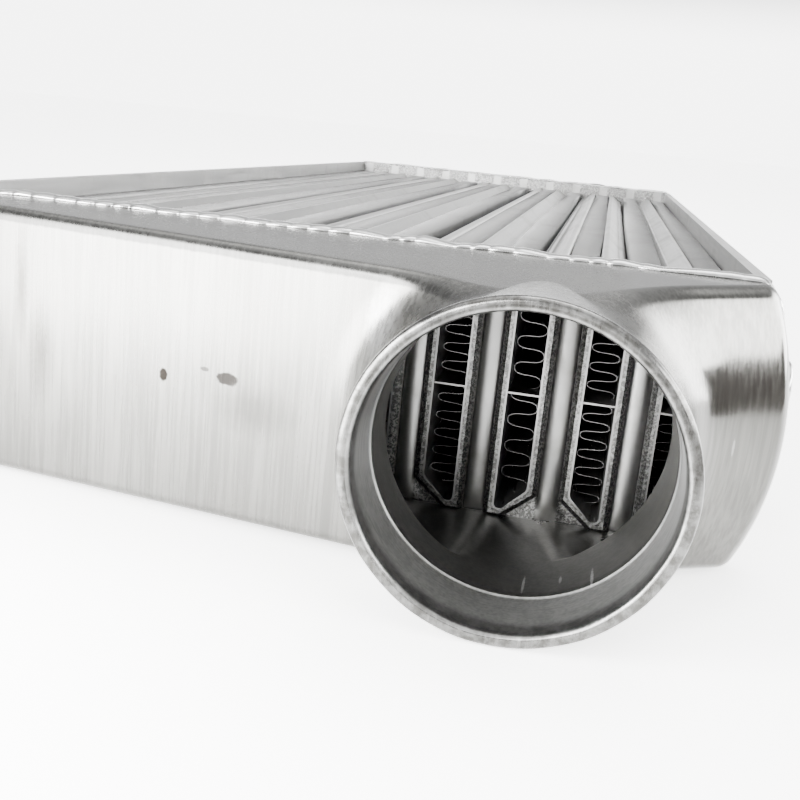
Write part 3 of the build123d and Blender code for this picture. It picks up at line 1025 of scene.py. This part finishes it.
def makeStage():
    # a pale floor to the horizon, and two flags that only reflections show: a dark card that
    # the slanted front mirrors, and a dark sheet on the floor before the outlet, a painted shadow
    # standing in for the shade that falls there, which greys its lip and bore
    s = stage
    r = s["reach"]
    corners = [(-r, -r, 0), (r, -r, 0), (r, r, 0), (-r, r, 0)]
    makePlane("paleFloor", corners, s["floor"], 0.6, s["floorGlow"])
    low, high = s["cardZ"]
    corners = [(s["cardX"], y, z) for y, z in zip(np.repeat(s["cardY"], 2), (low, high, high, low))]
    flags = [makePlane("darkCard", corners, s["card"], 0.8, 0.0)]
    (x0, x1), (y0, y1) = s["shadowSheetX"], s["shadowSheetY"]
    corners = [(x, y, s["shadowSheetZ"]) for x, y in ((x0, y0), (x1, y0), (x1, y1), (x0, y1))]
    # painted shadow: a dark sheet on the floor where shade falls before the outlet
    flags.append(makePlane("floorShadowSheet", corners, s["shadowSheetTone"], 0.8, 0.0))
    for flag in flags:
        flag.visible_camera = False
        flag.visible_shadow = False


makeStage()

room = {
    "wall": (6.3, 6.3, 6.28), "upper": (1.3, 1.3, 1.31), "overhead": (6.0, 6.0, 6.0),
    "window": (34.0, 34.0, 34.0), "wallTo": (0.09, 0.17), "overheadFrom": (0.72, 0.9),
    "windowSide": (0.55, 0.7), "windowTo": (0.34, 0.62),
}


def makeSky():
    # a pale room: white near the horizon, grey above it, a window low on the right side
    r = room
    world = bpy.data.worlds.new("room")
    world.use_nodes = True
    bpy.context.scene.world = world
    tree = world.node_tree
    back = tree.nodes["Background"]
    axes = splitAxes(tree, node(tree, "ShaderNodeTexCoord").outputs["Generated"])
    up = axes["Z"]
    side = smoothMask(tree, axes["X"], *r["windowSide"])
    low = opposite(tree, smoothMask(tree, up, *r["windowTo"]))
    tone = mixColour(tree, smoothMask(tree, up, *r["wallTo"]), r["wall"], r["upper"])
    tone = mixColour(tree, smoothMask(tree, up, *r["overheadFrom"]), tone, r["overhead"])
    tone = mixColour(tree, product(tree, side, low), tone, r["window"])
    tree.links.new(tone, back.inputs["Color"])


makeSky()


def areaLight(name, place, target, size, power):
    data = bpy.data.lights.new(name, "AREA")
    data.size = size
    data.energy = power
    lamp = bpy.data.objects.new(name, data)
    bpy.context.scene.collection.objects.link(lamp)
    gap = np.array(target) - np.array(place)
    back = -gap / np.linalg.norm(gap)
    right = np.cross((0.1, 0, 1), back)
    right /= np.linalg.norm(right)
    up = np.cross(back, right)
    axes = np.column_stack([right, up, back])
    lamp.matrix_world = Matrix([(*row, p) for row, p in zip(axes, place)] + [(0, 0, 0, 1)])


# name, place and target in metres, size in metres and power in watts
lights = [
    ("overhead", (0.3, 0.6, 2.4), (0, 0, 0), 1.2, 62),
    ("softbox", (-0.165, -0.49, 0.10), (0.145, -0.10, 0.10), 0.2, 9),
    ("lamp", (-0.30, -1.25, 0.46), (0.065, -0.3, 0.038), 0.25, 20),
]
for light in lights:
    areaLight(*light)

lens = {
    "focal": 1062.8, "centreX": 387.6, "centreY": 398.4, "image": 800.0, "sensor": 36.0,
    "yaw": -0.1828, "pitch": 0.2496, "roll": -0.0971, "place": (75.9, -564.3, 106.0),
}


def makeCamera():
    c = lens
    data = bpy.data.cameras.new("camera")
    data.sensor_width = c["sensor"]
    data.lens = c["focal"] / c["image"] * c["sensor"]
    data.shift_x = (c["image"] / 2 - c["centreX"]) / c["image"]
    data.shift_y = (c["centreY"] - c["image"] / 2) / c["image"]
    data.clip_start = 0.01
    data.clip_end = 200
    level = np.cos(c["pitch"])
    ahead = np.array([np.sin(c["yaw"]) * level, np.cos(c["yaw"]) * level, -np.sin(c["pitch"])])
    right = np.array([np.cos(c["yaw"]), -np.sin(c["yaw"]), 0])
    down = np.cross(ahead, right)
    turnedRight = np.cos(c["roll"]) * right + np.sin(c["roll"]) * down
    turnedDown = np.cos(c["roll"]) * down - np.sin(c["roll"]) * right
    axes = np.column_stack([turnedRight, -turnedDown, -ahead])
    camera = bpy.data.objects.new("camera", data)
    bpy.context.scene.collection.objects.link(camera)
    place = np.array(c["place"]) * mm
    camera.matrix_world = Matrix([(*row, p) for row, p in zip(axes, place)] + [(0, 0, 0, 1)])
    bpy.context.scene.camera = camera


makeCamera()
print("stage ready")
